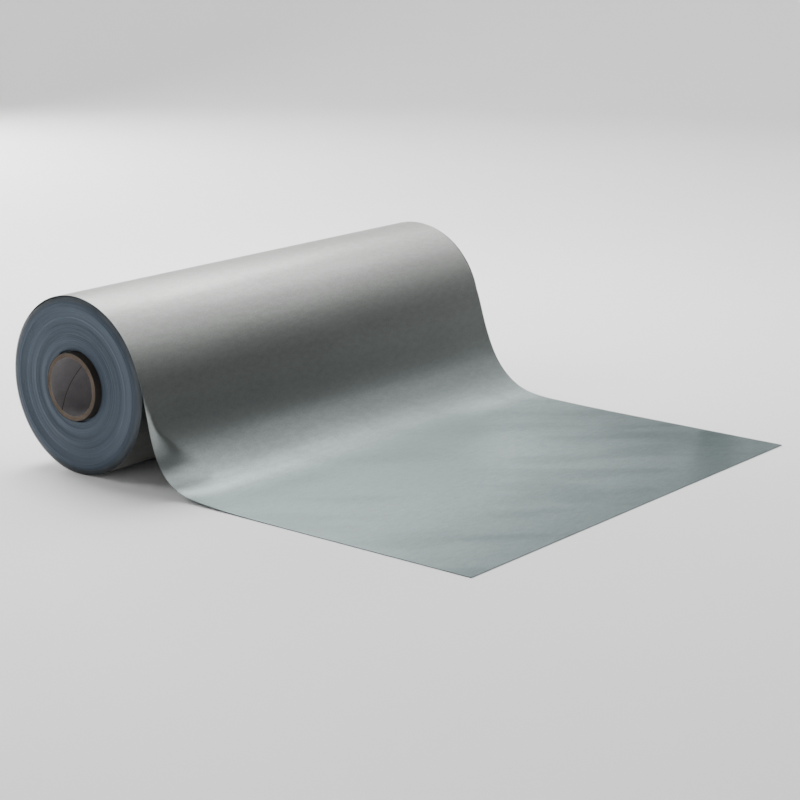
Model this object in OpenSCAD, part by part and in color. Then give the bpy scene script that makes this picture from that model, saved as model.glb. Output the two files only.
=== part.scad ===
// A roll of foil sheet on a paperboard core, with its outer end pulled off over the
// top, down the front of the roll and out flat along the table.
// The origin is the centre of the core's bore at mid-width. +X runs along the core,
// the sheet is drawn towards -Y, and +Z is up.

/* [Roll] */
// Outer radius of the wound roll
roll_r = 117.5; // [100:0.5:140]
// Width of the sheet, along the core
sheet_w = 700; // [300:5:1000]
// Thickness of the sheet
sheet_t = 0.6; // [0.4:0.1:1]
// Running gap between the outer turn and the turns that spin inside it
spin_gap = 0.3; // [0.2:0.05:0.5]
// How far the first turns stand to the right of the line of the rest
first_shift = 6; // [0:0.5:7]
// How far the outermost wound turns stand to the right of the line of the rest
rim_shift = 3; // [0:0.5:7]

/* [Core] */
// Radius of the core's bore, for a 3 inch spindle
bore_r = 38.1; // [30:0.1:38.5]
// Thickness of the smooth paper liner of the bore
liner_t = 0.8; // [0.4:0.1:1.5]
// Thickness of the spiral-wound board
board_t = 5; // [3:0.1:5.5]
// Thickness of the core's outer paper ply
ply_t = 0.7; // [0.4:0.1:1]
// How far the core stands out of the roll at each end
core_out = 7; // [7:0.5:20]
// Thickness of the tape that holds the first turn to the core
tape_t = 0.25; // [0.1:0.05:0.4]
// Angle of the core that the tape covers
tape_angle = 36; // [10:1:60]

/* [Drawn sheet] */
// Where the outer turn starts to lift off the roll, above the horizontal
lift_angle = 96; // [90:1:120]
// Where the lifted sheet turns into its straight fall, above the horizontal
fall_angle = 19.5; // [10:0.5:25]
// Share of the roll's radius by which the lifted stretch bends wider than the roll
lift_bulge = 0.01; // [0.01:0.005:0.05]
// Radius of the bend where the falling sheet meets the table
toe_r = 98; // [80:1:100]
// Distance from the roll's axis to the front edge of the sheet
draw_length = 635; // [600:5:640]
// Distance from the roll's axis to where the flat sheet becomes two thin layers
lap_start = 252; // [250:1:260]

/* [Hidden] */

core_half = sheet_w / 2 + core_out;
liner_r = bore_r + liner_t;
board_r = liner_r + board_t;
core_r = board_r + ply_t;
tape_r = core_r + tape_t;
tape_half = sheet_w / 2 - 10;
spin_r = roll_r - sheet_t - spin_gap;
table_z = -roll_r;
layer_t = sheet_t / 2;

// The wound turns, in packs from the core outwards. Each pack starts at its share of
// the roll's radius and ends where the next one starts.
PACKS = [["inner_turns", 0.405], ["lower_turns", 0.49], ["low_middle_turns", 0.56], ["middle_turns", 0.63],
         ["high_middle_turns", 0.71], ["ridge_turns", 0.79], ["shoulder_turns", 0.87], ["rim_turns", 0.94]];
PACK_NAMES = [for (pack = PACKS) pack[0]];
function pack_r(i) = i < len(PACKS) ? PACKS[i][1] * roll_r : spin_r;

// How far the turns stand to the right, by share of the roll's radius. Every turn is as
// wide as the next, so both end faces have the same rings, one hollow where the other is proud.
EDGE_SHIFTS = [[0.405, 1], [0.49, 0.4], [0.56, 1], [0.63, 0.3], [0.71, 1.1], [0.79, 0.7], [0.87, -0.9],
               [0.93, 0.1], [0.96, 0.7], [1, rim_shift]];
function edge_shift(r) = lookup(r / roll_r, EDGE_SHIFTS);

// The draped sheet's middle line, as [distance in front of the axis, height]. It
// leaves the outer turn along a wider arc, falls straight, and bends out onto the
// table along an arc that is tangent to both.
mid_r = roll_r - sheet_t / 2;
wide_r = mid_r * (1 + lift_bulge);
wide_c = [(mid_r - wide_r) * cos(lift_angle), (mid_r - wide_r) * sin(lift_angle)];
fall_p = wide_c + wide_r * [cos(fall_angle), sin(fall_angle)];
toe_z = table_z + sheet_t / 2;
fall_dir = [sin(fall_angle), -cos(fall_angle)];
toe_turn = 90 - fall_angle;
fall_length = (fall_p.y - toe_z) / cos(fall_angle) - toe_r * tan(toe_turn / 2);
bend_p = fall_p + fall_length * fall_dir;
bend_c = bend_p + toe_r * [cos(fall_angle), sin(fall_angle)];
toe_end = bend_c.x;

// Points of an arc about c, from angle a to angle b
function arc(c, r, a, b, step) =
    let (n = max(1, ceil(abs(b - a) / step)))
    [for (i = [0:n]) let (t = a + (b - a) * i / n) c + r * [cos(t), sin(t)]];

// Outline of the draped sheet: its outer face out, and its inner face back
function drape_face(side) = concat(
    arc(wide_c, wide_r + side, lift_angle, fall_angle, 4),
    arc(bend_c, toe_r - side, 180 + fall_angle, 270, 3.5));
function reversed(v) = [for (i = [len(v) - 1:-1:0]) v[i]];
DRAPE = concat(drape_face(sheet_t / 2), reversed(drape_face(-sheet_t / 2)));

// Turns a shape drawn in X and Y, X ahead of the roll and Y up, to stand across the roll
module across(width) {
    rotate([90, 0, -90])
        linear_extrude(height = width, center = true) children();
}

// Turns a shape drawn as [radius, place along the core] about the core's axis
module turned() {
    rotate([0, 90, 0])
        rotate_extrude($fn = 240) children();
}

module tube(r_in, r_out, half) {
    turned() translate([r_in, -half]) square([r_out - r_in, 2 * half]);
}

// A pack of turns, with sloping end faces
module pack(r_in, r_out) {
    half = sheet_w / 2;
    turned() polygon([[r_in, edge_shift(r_in) - half], [r_out, edge_shift(r_out) - half],
                      [r_out, edge_shift(r_out) + half], [r_in, edge_shift(r_in) + half]]);
}

module core_liner() {
    color([0.27, 0.27, 0.28]) tube(bore_r, liner_r, core_half);
}

module core_board() {
    color([0.47, 0.40, 0.32]) tube(liner_r, board_r, core_half);
}

module core_outer_ply() {
    color([0.10, 0.10, 0.10]) tube(board_r, core_r, core_half);
}

module start_tape() {
    color([0.80, 0.76, 0.62])
        rotate([0, 90, 0])
            rotate_extrude(angle = tape_angle, $fn = 240)
                translate([core_r, -tape_half]) square([tape_t, 2 * tape_half]);
}

module first_turns() {
    color([0.36, 0.39, 0.43])
        translate([first_shift, 0, 0]) tube(tape_r, pack_r(0), sheet_w / 2);
}

module turn_pack(i) {
    color([0.46, 0.51, 0.56] * (1 + 0.06 * (i % 2)))
        pack(pack_r(i), pack_r(i + 1));
}

// The last turn that lies on the roll, from under the draped sheet round to the top
module outer_turn() {
    color([0.62, 0.64, 0.63])
        rotate([90, 0, -90])
            rotate_extrude(angle = 360 + fall_angle - lift_angle, start = lift_angle, $fn = 240)
                translate([roll_r - sheet_t, -sheet_w / 2]) square([sheet_t, sheet_w]);
}

module draped_sheet() {
    color([0.66, 0.68, 0.67]) across(sheet_w) polygon(DRAPE);
}

// The flat sheet is whole near the roll, and a half-thickness layer further out
module flat_sheet() {
    color([0.68, 0.70, 0.69])
        across(sheet_w) polygon([[toe_end, table_z], [lap_start, table_z], [lap_start, table_z + layer_t],
                                 [draw_length, table_z + layer_t], [draw_length, table_z + sheet_t],
                                 [toe_end, table_z + sheet_t]]);
}

// The lower layer, which slides forward as sheet comes off the roll
module drawn_end() {
    color([0.64, 0.66, 0.65])
        across(sheet_w) translate([lap_start, table_z]) square([draw_length - lap_start, layer_t]);
}

core_liner();
core_board();
core_outer_ply();
start_tape();
first_turns();
for (i = [0:len(PACK_NAMES) - 1])
    turn_pack(i);
outer_turn();
draped_sheet();
flat_sheet();
drawn_end();
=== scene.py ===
"""The looks of the foil sheet roll: a satin metal sheet wound on a paperboard core,
drawn off over the top of the roll and out along the table."""

import math

import bpy
import numpy as np
from mathutils import Matrix, Vector


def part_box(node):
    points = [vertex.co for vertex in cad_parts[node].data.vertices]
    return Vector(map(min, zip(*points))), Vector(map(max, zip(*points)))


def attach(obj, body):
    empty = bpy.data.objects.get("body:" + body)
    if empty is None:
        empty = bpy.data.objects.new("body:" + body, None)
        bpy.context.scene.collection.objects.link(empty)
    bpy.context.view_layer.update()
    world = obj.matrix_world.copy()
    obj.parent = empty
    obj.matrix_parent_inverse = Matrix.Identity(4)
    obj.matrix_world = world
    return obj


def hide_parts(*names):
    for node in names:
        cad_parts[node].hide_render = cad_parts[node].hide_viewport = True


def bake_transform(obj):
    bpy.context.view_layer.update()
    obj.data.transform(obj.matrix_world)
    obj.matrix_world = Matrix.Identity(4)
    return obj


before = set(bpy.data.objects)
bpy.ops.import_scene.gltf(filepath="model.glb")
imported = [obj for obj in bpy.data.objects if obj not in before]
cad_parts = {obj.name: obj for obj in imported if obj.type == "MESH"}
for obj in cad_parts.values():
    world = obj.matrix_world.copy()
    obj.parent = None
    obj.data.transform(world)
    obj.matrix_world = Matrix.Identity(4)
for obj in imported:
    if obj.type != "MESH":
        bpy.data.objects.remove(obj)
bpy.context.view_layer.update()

MM = 0.001


def put(name, data):
    """A new object in the scene, made of this data."""
    item = bpy.data.objects.new(name, data)
    bpy.context.scene.collection.objects.link(item)
    return item


# ---------------------------------------------------------------- camera

CAMERA_AT = Vector((-2.182, -2.006, 0.6875))
AZIMUTH = 51.19  # degrees that the view turns from +Y towards +X
ELEVATION = 14.70  # degrees that it looks down
LEAN = 0.185  # degrees that the camera is rolled
LENS = 97.6  # mm
SENSOR = 36  # mm wide
CLIP = (0.05, 60)  # nearest and furthest distance that is seen


def make_camera():
    data = bpy.data.cameras.new("camera")
    data.lens = LENS
    data.sensor_width = SENSOR
    data.clip_start, data.clip_end = CLIP
    camera = put("camera", data)
    turn = Matrix.Rotation(math.radians(-AZIMUTH), 4, "Z")
    tilt = Matrix.Rotation(math.radians(90 - ELEVATION), 4, "X")
    roll = Matrix.Rotation(math.radians(LEAN), 4, "Z")
    camera.matrix_world = Matrix.Translation(CAMERA_AT) @ turn @ tilt @ roll
    bpy.context.scene.camera = camera


make_camera()

# ---------------------------------------------------------------- sizes, from the CAD


def radii(node):
    """Inner and outer radius of a CAD node about the core's axis."""
    r = [math.hypot(v.co.y, v.co.z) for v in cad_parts[node].data.vertices]
    return min(r), max(r)


ROLL_R = radii("outer_turn")[1]
SHEET_T = ROLL_R - radii("outer_turn")[0]
HALF_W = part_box("outer_turn")[1].x
CORE_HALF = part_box("core_board")[1].x
TABLE_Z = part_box("drawn_end")[0].z
FRONT = -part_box("drawn_end")[0].y  # from the axis to the sheet's front edge
MID_R = ROLL_R - SHEET_T / 2


def smooth(x, low, high):
    """0 below low, 1 above high, and a smooth step between them."""
    t = np.clip((np.asarray(x, float) - low) / (high - low), 0, 1)
    return t * t * (3 - 2 * t)


# ---------------------------------------------------------------- materials

BLACK, WHITE = (0.0, 0.0, 0.0), (1.0, 1.0, 1.0)
RAMP_INPUTS = "From Min", "From Max", "To Min", "To Max"
MIX_FACTOR, MIX_A, MIX_B = 0, 6, 7  # the sockets of a colour mix
MIX_RESULT = 2


class Nodes:
    """A node material, with short ways to add what the materials here share."""

    def __init__(self, name):
        self.material = bpy.data.materials.new(name)
        self.material.use_nodes = True
        self.tree = self.material.node_tree
        self.shader = self.tree.nodes["Principled BSDF"]

    def add(self, kind, **settings):
        node = self.tree.nodes.new(kind)
        for key, value in settings.items():
            setattr(node, key, value)
        return node

    def link(self, source, target):
        self.tree.links.new(source, target)

    def coords(self, uv=False):
        return self.add("ShaderNodeTexCoord").outputs["UV" if uv else "Object"]

    def scaled(self, coords, scale):
        mapping = self.add("ShaderNodeMapping")
        mapping.inputs["Scale"].default_value = scale
        self.link(coords, mapping.inputs["Vector"])
        return mapping.outputs["Vector"]

    def parts(self, vector):
        """A vector's three parts."""
        split = self.add("ShaderNodeSeparateXYZ")
        self.link(vector, split.inputs["Vector"])
        return tuple(split.outputs)

    def joined(self, *parts):
        """A vector with these as its first parts."""
        node = self.add("ShaderNodeCombineXYZ")
        for part, socket in zip(parts, node.inputs):
            self.link(part, socket)
        return node.outputs["Vector"]

    def noise(self, coords, scale, detail=3.0, roughness=0.5):
        node = self.add("ShaderNodeTexNoise")
        node.inputs["Scale"].default_value = scale
        node.inputs["Detail"].default_value = detail
        node.inputs["Roughness"].default_value = roughness
        self.link(coords, node.inputs["Vector"])
        return node.outputs["Fac"]

    def rings(self, scale):
        """Noise that changes only with the distance from the core's axis."""
        _, y, z = self.parts(self.coords())
        radius = self.maths("SQRT", self.plus(self.times(y, y), self.times(z, z)))
        return self.noise(self.joined(radius), scale, detail=1.0)

    def ramp(self, value, low, high, out_low, out_high):
        """A smooth step from out_low, below low, to out_high, above high."""
        node = self.add("ShaderNodeMapRange", interpolation_type="SMOOTHSTEP")
        for key, number in zip(RAMP_INPUTS, (low, high, out_low, out_high)):
            node.inputs[key].default_value = number
        self.link(value, node.inputs["Value"])
        return node.outputs["Result"]

    def band(self, value, start, full, fade, end, height=1.0):
        """Rises to height between start and full, and falls to 0 between fade and end."""
        rise = self.ramp(value, start, full, 0, height)
        return self.minus(rise, self.ramp(value, fade, end, 0, height))

    def maths(self, operation, *values):
        node = self.add("ShaderNodeMath", operation=operation)
        for socket, value in zip(node.inputs, values):
            if isinstance(value, (int, float)):
                socket.default_value = value
            else:
                self.link(value, socket)
        return node.outputs["Value"]

    def plus(self, a, b):
        return self.maths("ADD", a, b)

    def minus(self, a, b):
        return self.maths("SUBTRACT", a, b)

    def times(self, a, b):
        return self.maths("MULTIPLY", a, b)

    def weighted(self, first, *others):
        """The sum of values, each given as (value, weight)."""
        total = self.times(*first)
        for other in others:
            total = self.plus(total, self.times(*other))
        return total

    def mix(self, factor, a, b):
        node = self.add("ShaderNodeMix", data_type="RGBA")
        self.link(factor, node.inputs[MIX_FACTOR])
        for socket, colour in zip((node.inputs[MIX_A], node.inputs[MIX_B]), (a, b)):
            if isinstance(colour, tuple):
                socket.default_value = (*colour, 1)
            else:
                self.link(colour, socket)
        return node.outputs[MIX_RESULT]

    def two_tone(self, tone, dark, light, spread=0.14):
        """From dark to light, as tone goes from spread below a half to spread above it."""
        return self.mix(self.ramp(tone, 0.5 - spread, 0.5 + spread, 0, 1), dark, light)

    def bump(self, height, distance):
        node = self.add("ShaderNodeBump")
        node.inputs["Strength"].default_value = 1.0
        node.inputs["Distance"].default_value = distance
        self.link(height, node.inputs["Height"])
        self.link(node.outputs["Normal"], self.shader.inputs["Normal"])

    def finish(self, colour, roughness, metallic=0.0, specular=0.5):
        self.link(colour, self.shader.inputs["Base Color"])
        self.link(roughness, self.shader.inputs["Roughness"])
        self.shader.inputs["Metallic"].default_value = metallic
        self.shader.inputs["Specular IOR Level"].default_value = specular
        return self.material


def foil_painted_shade(n, across, along, cloud):
    """How much painted shade darkens the foil's reflection. Across is measured from the middle of
    the sheet and along from the top of the roll, in metres.

    Painted shade darkens the foil a little where it bends onto the table. Its flat part has faint
    slanting streaks of painted crease shade, and painted shade towards its front and its right
    side. A band of painted shade slants across its front right corner."""
    # Painted shade towards the sheet's front and its right side; the band, the crease streaks and
    # the bend below are painted shade too.
    drift = n.times(n.minus(cloud, 0.5), 0.03)
    front = n.ramp(n.plus(along, drift), 0.36, 0.83, 0, 0.48)
    side = n.times(n.ramp(across, 0.04, 0.32, 0, 0.24), n.band(along, 0.28, 0.44, 0.53, 0.72))
    past_line = n.minus(n.plus(along, n.times(across, 0.51)), 0.811)
    shade_band = n.minus(n.ramp(past_line, -0.014, 0.01, 0, 0.10),
                        n.ramp(past_line, 0.03, 0.08, 0, 0.13))
    shade_band = n.times(shade_band, n.ramp(across, 0.06, 0.28, 0, 1))
    slanted = n.joined(n.minus(along, across), n.plus(along, across))
    crease_shade = n.noise(n.scaled(slanted, (17, 4, 1)), 1.0, detail=2.0)
    crease_shade = n.times(n.ramp(crease_shade, 0.36, 0.54, 0.065, 0), n.ramp(along, 0.22, 0.36, 0, 1))
    bend_shade = n.band(along, 0.25, 0.285, 0.30, 0.345, height=0.15)
    bend_shade = n.times(bend_shade, n.ramp(across, -0.30, -0.18, 0, 1))
    return n.plus(n.plus(front, side), n.plus(shade_band, n.plus(crease_shade, bend_shade)))


def foil_material():
    """Satin rolled metal: a fine mottle with faint streaks across the sheet, and soft
    clouds. It is a neutral grey on the roll, and takes a green cast as it is drawn off."""
    n = Nodes("satin_foil")
    uv = n.coords(uv=True)
    grain = n.noise(uv, 420, roughness=0.6)
    mottle = n.noise(n.scaled(uv, (70, 150, 1)), 1.0, roughness=0.6)
    cloud = n.noise(n.scaled(uv, (5, 16, 1)), 1.0)
    tone = n.weighted((grain, 0.4), (mottle, 0.35), (cloud, 0.25))
    across, along, _ = n.parts(uv)
    # Painted shade on the foil: darker towards its front and right side, across its front right
    # corner, in crease streaks and at the bend.
    painted_shade = foil_painted_shade(n, across, along, cloud)
    on_roll = n.two_tone(tone, (0.279, 0.284, 0.272), (0.343, 0.349, 0.334))
    drawn_off = n.two_tone(tone, (0.266, 0.312, 0.313), (0.327, 0.384, 0.385))
    drawn = n.ramp(along, 0.02, 0.42, 0, 1)
    # The painted shade darkens the foil's base colour and its reflection's tint alike.
    colour = n.mix(painted_shade, n.mix(drawn, on_roll, drawn_off), BLACK)
    sheen = n.mix(painted_shade, n.mix(drawn, WHITE, (0.93, 1.0, 1.0)), BLACK)
    n.link(sheen, n.shader.inputs["Specular Tint"])
    n.bump(n.plus(grain, n.times(mottle, 0.5)), 0.03 * MM)
    return n.finish(colour, n.ramp(tone, 0.3, 0.7, 0.39, 0.33), metallic=1.0)


def edge_material():
    """The stacked edges of the turns: muted blue-grey, with fine lines and broad rings."""
    n = Nodes("wound_edges")
    fine = n.rings(1700)
    broad = n.rings(95)
    patches = n.noise(n.coords(), 22)
    tone = n.weighted((fine, 0.3), (broad, 0.55), (patches, 0.15))
    colour = n.two_tone(tone, (0.041, 0.056, 0.077), (0.069, 0.091, 0.121))
    n.bump(fine, 0.06 * MM)
    rough = n.ramp(patches, 0.3, 0.7, 0.48, 0.60)
    return n.finish(colour, rough, metallic=0.3, specular=0.25)


def rim_material():
    """The outermost edges, rubbed smooth where they run round into the roll's surface."""
    n = Nodes("rubbed_rim")
    fine = n.rings(1700)
    patches = n.noise(n.coords(), 30)
    tone = n.weighted((fine, 0.6), (patches, 0.4))
    colour = n.two_tone(tone, (0.043, 0.050, 0.058), (0.066, 0.075, 0.083))
    n.bump(fine, 0.04 * MM)
    return n.finish(colour, n.ramp(patches, 0.3, 0.7, 0.42, 0.5), metallic=0.85)


def paper_material(name, dark, light, fibre=900, roughness=0.88, depth_light=0.0):
    """Paper or board: two tones in fibres that run round the core, with a soft tooth. It
    can be darkened towards both ends of the core, painted light that leaves the bore lighter deeper
    in."""
    n = Nodes(name)
    coords = n.coords()
    fibres = n.noise(n.scaled(coords, (2.2, 1, 1)), fibre, detail=4.0, roughness=0.65)
    clouds = n.noise(coords, 60)
    tone = n.weighted((fibres, 0.6), (clouds, 0.4))
    colour = n.two_tone(tone, dark, light, spread=0.15)
    across, _, _ = n.parts(coords)
    # Painted light: darker towards both ends of the core and lighter in the middle, where the bore
    # is in shade.
    painted_depth_light = n.ramp(n.maths("ABSOLUTE", across), 0.27, 0.35, 0, depth_light)
    colour = n.mix(painted_depth_light, colour, BLACK)
    n.bump(fibres, 0.05 * MM)
    rough = n.ramp(clouds, 0.3, 0.7, roughness - 0.06, roughness + 0.04)
    return n.finish(colour, rough, specular=0.25)


FOIL = foil_material()
EDGE = edge_material()
RIM = rim_material()
BOARD = paper_material("kraft_board", (0.075, 0.056, 0.043), (0.135, 0.105, 0.082))
# The core's outer ply is near-black: painted shade standing in for the shadow on the core's outer
# side and in the gap round it.
PLY_PAINTED_SHADE = paper_material("ply_painted_shade", (0.012, 0.011, 0.010), (0.026, 0.023, 0.021))
# The bore's liner, with painted light that leaves it darker at both ends and lighter deep inside.
LINER = paper_material("grey_liner", (0.42, 0.40, 0.415), (0.54, 0.515, 0.53),
                       fibre=500, roughness=0.8, depth_light=0.55)
TAPE = paper_material("masking_tape", (0.55, 0.47, 0.31), (0.70, 0.62, 0.45), fibre=1200)

# ---------------------------------------------------------------- mesh helpers


def mesh_piece(name, verts, faces, materials, face_material=None, sharp_angle=50):
    mesh = bpy.data.meshes.new(name)
    mesh.from_pydata([tuple(v) for v in verts], [], [tuple(f) for f in faces])
    for material in materials:
        mesh.materials.append(material)
    if face_material is not None:
        mesh.polygons.foreach_set("material_index", np.asarray(face_material, np.int32))
    mesh.validate()
    mesh.shade_smooth()
    mesh.set_sharp_from_angle(angle=math.radians(sharp_angle))
    return put(name, mesh)


def grid_faces(rows, columns, closed_rows=False, closed_columns=False):
    """The faces between points that lie in rows, one row after the other. Where the grid
    is closed, its last row or column joins the first."""
    i, k = np.meshgrid(np.arange(rows - (not closed_rows)),
                       np.arange(columns - (not closed_columns)), indexing="ij")
    i2, k2 = (i + 1) % rows, (k + 1) % columns
    corners = (i, k), (i, k2), (i2, k2), (i2, k)
    return np.stack([row * columns + column for row, column in corners], -1).reshape(-1, 4)


def lathe(name, profile, materials, spans=None, segments=192, wobble=None, **options):
    """A closed ring turned about the core's axis. profile is its outline as [x, radius]
    points, anticlockwise with x to the right. spans gives each side's material."""
    x, r = np.array(profile, float).T
    angle = (2 * math.pi * np.arange(segments) / segments)[:, None]
    shift = 0 * angle if wobble is None else wobble(angle, r)
    place = np.broadcast_to(x + shift, (segments, len(x)))
    verts = np.stack([place, r * np.cos(angle), r * np.sin(angle)], -1).reshape(-1, 3)
    faces = grid_faces(segments, len(x), closed_rows=True, closed_columns=True)
    indices = None if spans is None else np.tile(np.asarray(spans), segments)
    return mesh_piece(name, verts, faces, materials, indices, **options)


# ---------------------------------------------------------------- the drawn sheet

# Distances along the sheet are from the top of the roll and in roll radii, unless a line
# says otherwise.

# Heading of the sheet, in degrees below level, at distances along it: most of its width,
# and its left edge, which falls closer to the roll.
MAIN_COURSE = [(0, 0), (1.1, 63), (1.35, 69), (1.6, 74), (1.85, 69.5), (2.1, 63),
               (2.35, 49), (2.6, 32), (2.85, 12), (3.15, 1.5), (3.6, 0.8), (4.3, 0)]
EDGE_COURSE = [(0, 0), (1.1, 63), (1.35, 70), (1.6, 77.5), (1.85, 77.5), (2.1, 72),
               (2.35, 55), (2.6, 27), (2.85, 6), (3.15, 4), (3.6, 0.5), (4.3, 0)]
COURSE_LENGTH = 7  # a little more than the sheet needs
COURSE_STEP = 0.005
COURSE_BLUR = 0.16  # the length over which the bends are rounded
EDGE_CATCHES_UP = (2.6, 5)  # where the left edge comes back level with the rest
SETTLES = (1.1, 3.15)  # where the fall's height is made to end on the table
TABLE_GAP = 0.2 * MM  # between the table and the flat sheet

# How far in from its left edge the sheet curls back towards the roll, in radii, at
# distances along it
CURL_REACH = [(1.45, 0.02), (1.82, 0.045), (1.91, 0.08), (1.99, 0.14), (2.13, 0.30),
              (2.24, 0.42), (2.34, 0.50), (2.6, 0.56)]
STEEPER_LEFT = 0.15  # how far the fall's left end has gone from the main course to the edge's

LAP_ANGLE = 8  # degrees above level at which the last turn starts, under the drawn sheet
LEAVES_ROLL = 0.6  # where its course takes over from the roll's own curve
FALL_END = 3.2  # just past the bend onto the table
WRAP_ROWS, FALL_ROWS, FLAT_ROWS = 150, 150, 80
COLUMNS = 121
CROWDING = 0.16  # how much closer together the columns are towards both edges

EDGE_DRIFT = 3 * MM  # how far the last turn's left edge stands in from the drawn sheet's
DRIFT_ENDS = (-1.6, 0.5)  # where the two edges come into line

# Soft waves in the sheet, as [height in mm, waves a metre across and along it, phase]
FLAT_WAVES = [(0.2, 1.3, 2.1, 0.4), (0.16, 3.1, -1.7, 2.0), (0.11, -2.3, 4.2, 4.1),
              (0.07, 5.2, 3.3, 1.2)]
FALL_WAVES = [(0.20, 1.7, 0.8, 0.9), (0.12, 3.9, -1.1, 2.7), (0.08, 7.3, 1.9, 5.0)]
FLAT_WAVES_START = (2.7, 3.6)
FALL_WAVES_START, FALL_WAVES_END = (1.0, 1.6), (2.7, 3.3)
FLAT_LIFT = 0.55  # mm, which keeps the hollows off the table
CALM_SIDE = 0.14  # metres in from the sides over which the flat waves grow
CALM_FRONT = 1.0  # radii in from the front over which they grow
CALM_SHARE = 0.15  # how much of them is left at the sides and the front


def course(knots):
    """Points of the sheet's middle line, as rows of [forward, height, heading in radians],
    every COURSE_STEP from the top of the roll."""
    s = np.arange(0, COURSE_LENGTH + COURSE_STEP, COURSE_STEP)
    margin = int(COURSE_BLUR / COURSE_STEP)
    wide = np.arange(-margin, len(s) + margin) * COURSE_STEP
    at, degrees = np.array(knots, float).T
    raw = np.where(wide < 0, wide * degrees[1] / at[1], np.interp(wide, at, degrees))
    window = np.hanning(2 * margin + 1)
    heading = np.radians(np.convolve(raw, window / window.sum(), mode="valid"))

    def summed(slope):
        steps = (slope[1:] + slope[:-1]) / 2 * COURSE_STEP * MID_R
        return np.concatenate([[0], np.cumsum(steps)])

    forward, height = summed(np.cos(heading)), MID_R - summed(np.sin(heading))
    table = TABLE_Z + SHEET_T / 2 + TABLE_GAP
    height += (table - height[-1]) * smooth(s, *SETTLES)
    return s, np.stack([forward, height, heading], -1)


def sheet_rows():
    """Rows of the sheet from the start of the last turn to the front edge: distance along
    it, and the main and the left edge's points there."""
    s_main, main = course(MAIN_COURSE)
    s_edge, edge = course(EDGE_COURSE)
    end = np.interp(FRONT, main[:, 0], s_main)
    behind = FRONT - np.interp(end, s_edge, edge[:, 0])
    edge[:, 0] += behind * smooth(s_edge, *EDGE_CATCHES_UP)
    wrap = np.radians(np.linspace(-270 - LAP_ANGLE, 0, WRAP_ROWS))
    fall = np.linspace(0, FALL_END, FALL_ROWS)[1:]
    flat = np.linspace(FALL_END, end, FLAT_ROWS)[1:]
    s = np.concatenate([wrap, fall, flat])
    on_roll = np.stack([MID_R * np.sin(s), MID_R * np.cos(s), s], -1)
    rows = []
    for at, points in ((s_main, main), (s_edge, edge)):
        off_roll = np.stack([np.interp(s, at, points[:, k]) for k in range(3)], -1)
        rows.append(np.where(s[:, None] < LEAVES_ROLL, on_roll, off_roll))
    return s, *rows


def edge_share(s, x):
    """How far each point has gone from the main course to the left edge's: all the way at
    the edge, less over the curl, and a little over the rest of the fall."""
    away = (x + HALF_W) / ROLL_R
    reach = np.interp(s, *np.array(CURL_REACH).T)[:, None]
    curl = np.clip(1 - away / reach, 0, 1)
    curl = curl**2 * (3 - curl) / 2
    steeper = STEEPER_LEFT * (1 - (x + HALF_W) / (2 * HALF_W))
    return curl + (1 - curl) * steeper


def waves(x, y, table):
    return sum(a * np.sin(2 * math.pi * (u * x + v * y) + p) for a, u, v, p in table)


def dents(s, x, across, length):
    """How far the sheet stands out of its course, in mm."""
    calm = smooth(HALF_W - np.abs(x), 0, CALM_SIDE) * smooth(s[-1] - s, 0, CALM_FRONT)[:, None]
    flat = smooth(s, *FLAT_WAVES_START)[:, None] * (CALM_SHARE + (1 - CALM_SHARE) * calm)
    fall = smooth(s, *FALL_WAVES_START) * (1 - smooth(s, *FALL_WAVES_END))
    return (flat * (waves(across, length, FLAT_WAVES) + FLAT_LIFT)
            + fall[:, None] * waves(across, length, FALL_WAVES))


def sheet_surface():
    """The sheet's middle surface as a grid of points, and its flat coordinates in metres."""
    s, main, edge = sheet_rows()
    share = np.linspace(0, 1, COLUMNS)
    share = share - CROWDING * np.sin(2 * math.pi * share) / math.pi
    x = HALF_W * (2 * share - 1)
    points = main[:, None, :] + edge_share(s, x)[:, :, None] * (edge - main)[:, None, :]
    across = x + EDGE_DRIFT * (1 - smooth(s, *DRIFT_ENDS))[:, None]
    length = np.broadcast_to((s * MID_R)[:, None], across.shape)
    dent = dents(s, x, across, length) * MM
    heading = points[:, :, 2]
    forward = points[:, :, 0] + dent * np.sin(heading)
    height = points[:, :, 1] + dent * np.cos(heading)
    return np.stack([across, -forward, height], -1), across, length


def make_sheet():
    """The one sheet, with a top, an underside and cut edges. Only its front edge is bright."""
    grid, u, v = sheet_surface()
    rows, columns = grid.shape[:2]
    normal = np.cross(np.gradient(grid, axis=0), np.gradient(grid, axis=1))
    normal *= SHEET_T / 2 / np.linalg.norm(normal, axis=-1, keepdims=True)
    verts = np.concatenate([(grid + normal).reshape(-1, 3), (grid - normal).reshape(-1, 3)])
    points = rows * columns
    top = grid_faces(rows, columns)[:, [0, 3, 2, 1]]
    under = top[:, ::-1] + points
    number = np.arange(points).reshape(rows, columns)
    ring = np.concatenate([number[0], number[1:, -1], number[-1, -2::-1], number[-2:0:-1, 0]])
    following = np.roll(ring, -1)
    edges = np.stack([ring, following, following + points, ring + points], -1)
    rubbed = np.minimum(ring, following) < number[-1, 0]
    face_material = np.concatenate([np.zeros(len(top) + len(under), int), rubbed])
    sheet = mesh_piece("foil_sheet", verts, np.concatenate([top, under, edges]),
                       [FOIL, RIM], face_material, sharp_angle=60)
    uv = sheet.data.uv_layers.new(name="flat")
    flat = np.stack([np.tile(u.ravel(), 2), np.tile(v.ravel(), 2)], -1)
    loops = np.zeros(len(sheet.data.loops), np.int32)
    sheet.data.loops.foreach_get("vertex_index", loops)
    uv.data.foreach_set("uv", flat[loops].astype(np.float32).ravel())
    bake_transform(sheet)
    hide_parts("outer_turn", "draped_sheet", "flat_sheet", "drawn_end")


make_sheet()

# ---------------------------------------------------------------- the wound turns

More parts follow.
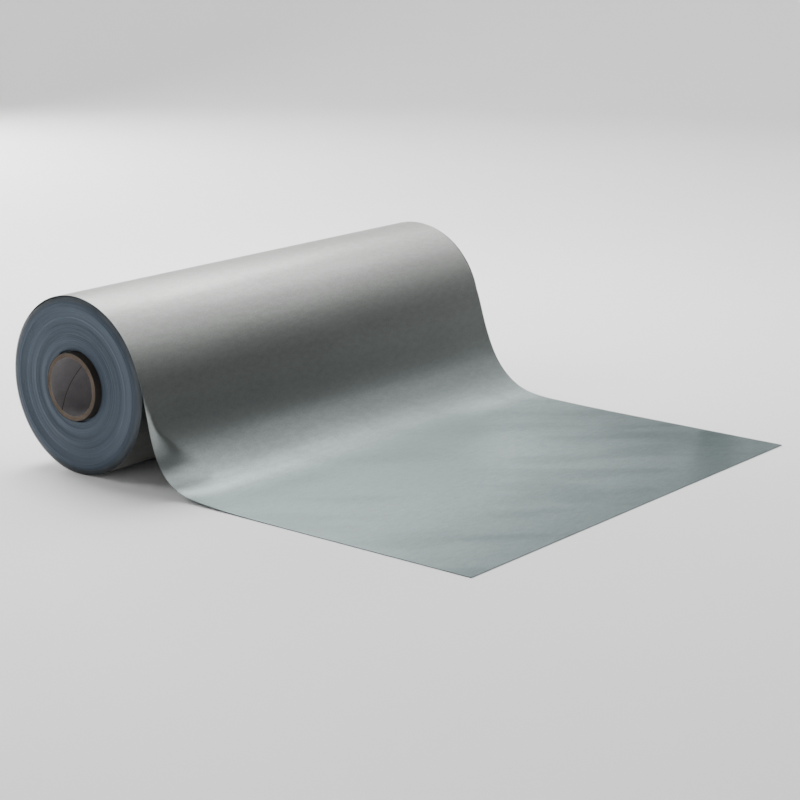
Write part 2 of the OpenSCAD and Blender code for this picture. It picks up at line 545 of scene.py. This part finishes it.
# How far the turns' edges stand to the right of the roll's ends, in mm, by share of the
# roll's radius. The two ends match, because every turn is as wide as the next.
TELESCOPE = [(0.40, 1.0), (0.46, 0.9), (0.49, 0.4), (0.55, 1.0), (0.57, 1.0), (0.62, 0.3),
             (0.64, 0.3), (0.70, 1.1), (0.72, 1.1), (0.76, 0.7), (0.80, 0.7), (0.87, -0.9),
             (0.885, -1.0), (0.93, 0.0), (0.96, 0.6), (0.98, 1.6), (0.993, 3.0)]
STEPPED_PACKS = ["inner_turns", "lower_turns", "low_middle_turns", "middle_turns",
                 "high_middle_turns", "ridge_turns", "shoulder_turns"]
GROOVE_SHARE = 0.08  # of a turn's thickness, left as a groove on each side of its edge
TURN_JITTER = 0.06 * MM
random = np.random.default_rng(7)


def telescope(r):
    at, shift = np.array(TELESCOPE).T
    return np.interp(r / ROLL_R, at, shift) * MM


def edge_wobble(angle, r):
    """The rings aren't quite true: they drift a little to and fro round the roll."""
    return 0.14 * MM * np.sin(angle + 90 * r) + 0.07 * MM * np.sin(2 * angle - 140 * r)


def wound_piece(node, right, face_materials, sharp_angle):
    """A pack of turns, from the outline of its right end face. The faces of that outline
    take the two materials in turn."""
    left = [(x - 2 * HALF_W, r) for x, r in reversed(right)]
    end_face = [0, 1] * (len(right) // 2)
    piece = lathe(node.replace("turns", "winding"), right + left, face_materials,
                  spans=end_face + end_face, wobble=edge_wobble, sharp_angle=sharp_angle)
    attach(piece, "roll")
    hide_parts(node)


def stepped_turns(node, shift=None):
    """Turns that are each a step in the end faces, all at one shift if it is given."""
    inner, outer = radii(node)
    count = round((outer - inner) / SHEET_T)
    edges = np.linspace(inner, outer, count + 1)
    groove = GROOVE_SHARE * (edges[1] - edges[0])
    right = []
    for low, high in zip(edges[:-1], edges[1:]):
        offset = telescope((low + high) / 2) if shift is None else shift
        x = HALF_W + offset + random.normal(0, TURN_JITTER)
        right += [(x, low + groove), (x, high - groove)]
    wound_piece(node, right, [EDGE, RIM], sharp_angle=50)


def rubbed_turns(node):
    """The outermost turns, whose edges are rubbed into one smooth face."""
    inner, outer = radii(node)
    count = round((outer - inner) / SHEET_T)
    right = [(HALF_W + telescope(r), r) for r in np.linspace(inner, outer, 2 * count)]
    wound_piece(node, right, [RIM, RIM], sharp_angle=80)


first_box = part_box("first_turns")
stepped_turns("first_turns", shift=(first_box[0].x + first_box[1].x) / 2)
for pack in STEPPED_PACKS:
    stepped_turns(pack)
rubbed_turns("rim_turns")

# ---------------------------------------------------------------- the core

CORE_SEGMENTS = 160
BOARD_LAYERS = 5
LAYER_STEP = 0.25 * MM  # how far every second layer of the board stands in at the ends
BEVEL = 0.12 * MM
SEAM_PITCH = 0.241  # how far along the core the liner's seam goes in one turn
SEAM_START = math.radians(-61)  # where it meets the left end, from the back over the top
SEAM_WIDTH = 1.5 * MM
SEAM_DEPTH = 0.4 * MM
LINER_ROWS = 180


def layered_ring(low, high, layers):
    """Outline of a tube's wall with bevelled corners, its end faces stepped in layers."""
    edges = np.linspace(low, high, layers + 1)
    right = []
    for k, (inner, outer) in enumerate(zip(edges[:-1], edges[1:])):
        face = CORE_HALF - LAYER_STEP * (k % 2)
        right += [(face - BEVEL, inner), (face, inner + BEVEL)]
        right += [(face, outer - BEVEL), (face - BEVEL, outer)]
    left = [(-x, r) for x, r in reversed(right)]
    return right + left


def make_tube(name, node, material, layers):
    profile = layered_ring(*radii(node), layers)
    piece = lathe(name, profile, [material], segments=CORE_SEGMENTS)
    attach(piece, "roll")
    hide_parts(node)


def make_liner():
    """The bore's paper, as a grid whose rows follow the seam: its lap is a shallow groove."""
    low, high = radii("core_liner")
    seam = SEAM_WIDTH / low
    x = np.linspace(-CORE_HALF, CORE_HALF, LINER_ROWS)[:, None]
    near_seam = np.linspace(-seam, seam, 17)
    rest = np.linspace(4 * seam, 2 * math.pi - 1.5 * seam, CORE_SEGMENTS)
    offsets = np.concatenate([near_seam, rest])
    angle = SEAM_START + 2 * math.pi * (x + CORE_HALF) / SEAM_PITCH + offsets
    inner = low + SEAM_DEPTH * np.exp(-((offsets / (seam / 2)) ** 2))
    place = np.broadcast_to(x, angle.shape)
    verts = [np.stack([place, r * np.cos(angle), r * np.sin(angle)], -1) for r in (inner, high)]
    verts = np.concatenate(verts).reshape(-1, 3)
    count = len(offsets)
    inside = grid_faces(LINER_ROWS, count, closed_columns=True)
    outside = inside[:, ::-1] + LINER_ROWS * count
    ring = np.arange(count)
    following = np.roll(ring, -1)
    end = np.stack([ring, ring + LINER_ROWS * count, following + LINER_ROWS * count, following], -1)
    far_end = end[:, ::-1] + (LINER_ROWS - 1) * count
    in_gap = np.abs((offsets + np.roll(offsets, -1)) / 2) < seam / 2
    face_material = np.concatenate([np.tile(in_gap, LINER_ROWS - 1),
                                    np.zeros(len(outside), int), np.ones(2 * count, int)])
    faces = np.concatenate([inside, outside, end, far_end])
    piece = mesh_piece("core_bore_paper", verts, faces, [LINER, BOARD], face_material)
    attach(piece, "roll")
    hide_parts("core_liner")


make_tube("core_wall", "core_board", BOARD, BOARD_LAYERS)
# The outer ply takes its near-black painted shade.
make_tube("core_ply", "core_outer_ply", PLY_PAINTED_SHADE, 1)
make_liner()
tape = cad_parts["start_tape"]
tape.data.materials.clear()
tape.data.materials.append(TAPE)

# ---------------------------------------------------------------- floor and light

GROUND = TABLE_Z - 0.1 * MM
FLOOR_HALF = 14
BACKDROP_FOOT = 3.6  # from the roll to where the backdrop starts to curve up
BACKDROP_BEND = 0.8
BACKDROP_TOP = 2.6
BACKDROP_ARC = (-150, 105)  # degrees from +Y towards +X
BACKDROP_ROWS, BACKDROP_COLUMNS = 14, 60


def stage_piece(name, verts, faces, material):
    mesh = bpy.data.meshes.new(name)
    mesh.from_pydata(verts, [], faces)
    mesh.materials.append(material)
    mesh.shade_smooth()
    piece = put(name, mesh)


def make_stage():
    """A pale floor, and a pale backdrop that curves up from it behind the object."""
    n = Nodes("pale_floor")
    clouds = n.noise(n.coords(), 3)
    colour = n.mix(clouds, (0.86, 0.86, 0.86), (0.90, 0.90, 0.90))
    pale = n.finish(colour, n.ramp(clouds, 0, 1, 0.9, 0.95), specular=0.1)
    corners = [(-1, -1), (1, -1), (1, 1), (-1, 1)]
    floor = [(FLOOR_HALF * x, FLOOR_HALF * y, GROUND) for x, y in corners]
    stage_piece("floor", floor, [(0, 1, 2, 3)], pale)
    profile = []
    for t in np.linspace(0, math.pi / 2, BACKDROP_ROWS - 1):
        rise = BACKDROP_BEND * (1 - math.cos(t))
        profile.append((BACKDROP_FOOT + BACKDROP_BEND * math.sin(t), GROUND + rise))
    profile.append((BACKDROP_FOOT + BACKDROP_BEND, BACKDROP_TOP))
    verts = []
    for a in np.radians(np.linspace(*BACKDROP_ARC, BACKDROP_COLUMNS)):
        verts += [(r * math.sin(a), r * math.cos(a), z) for r, z in profile]
    faces = grid_faces(BACKDROP_COLUMNS, BACKDROP_ROWS).tolist()
    stage_piece("backdrop", verts, faces, pale)


def around(azimuth, elevation, distance):
    """A place round the object. The azimuth turns from +Y towards +X."""
    a, e = math.radians(azimuth), math.radians(elevation)
    return distance * Vector((math.sin(a) * math.cos(e), math.cos(a) * math.cos(e), math.sin(e)))


def soft_light(name, place, size, power, aim=Vector((0, -0.2, 0))):
    data = bpy.data.lights.new(name, "AREA")
    data.shape = "RECTANGLE"
    data.size, data.size_y = size
    data.energy = power
    light = put(name, data)
    light.location = place
    light.rotation_euler = (aim - place).to_track_quat("-Z", "Y").to_euler()


def make_world(strength):
    world = bpy.data.worlds.new("studio")
    world.use_nodes = True
    background = world.node_tree.nodes["Background"]
    background.inputs["Color"].default_value = (*WHITE, 1)
    background.inputs["Strength"].default_value = strength
    bpy.context.scene.world = world


# Each light's name, its place as azimuth, elevation and distance, its size and its power
LARGE, SMALL, LONG = (1.8, 1.4), (0.8, 0.5), (1.2, 0.5)
LIGHTS = [
    ("back_light", (14, 14, 3.3), LARGE, 130),
    ("top_light", (20, 60, 3.5), LARGE, 150),
    ("left_light", (-42, 42, 3.5), LARGE, 40),
    ("right_light", (80, 35, 3.5), LARGE, 13),
    ("right_front_light", (110, 35, 3.5), LARGE, 5.6),
    ("front_right_light", (140, 35, 3.5), LARGE, 6.1),
    ("high_front_light", (140, 60, 3.5), LARGE, 18),
    ("low_right_light", (110, 12, 3.5), LARGE, 3.2),
    ("front_light", (-165, 15, 3.3), LARGE, 11),
    ("near_top_light", (80, 56, 1.4), SMALL, 3.6),
    ("near_back_light", (50, 48, 1.4), SMALL, 6.2),
    ("near_low_light", (57, 31, 1.4), LONG, 1.8),
    ("near_right_light", (110, 46, 1.3), SMALL, 0.9),
]

make_stage()
make_world(0.002)
for name, place, size, power in LIGHTS:
    soft_light(name, around(*place), size, power)
soft_light("backdrop_light", Vector((2.2, 1.8, 2.4)), (3.0, 0.6), 8, aim=Vector((3.2, 2.6, 0.1)))
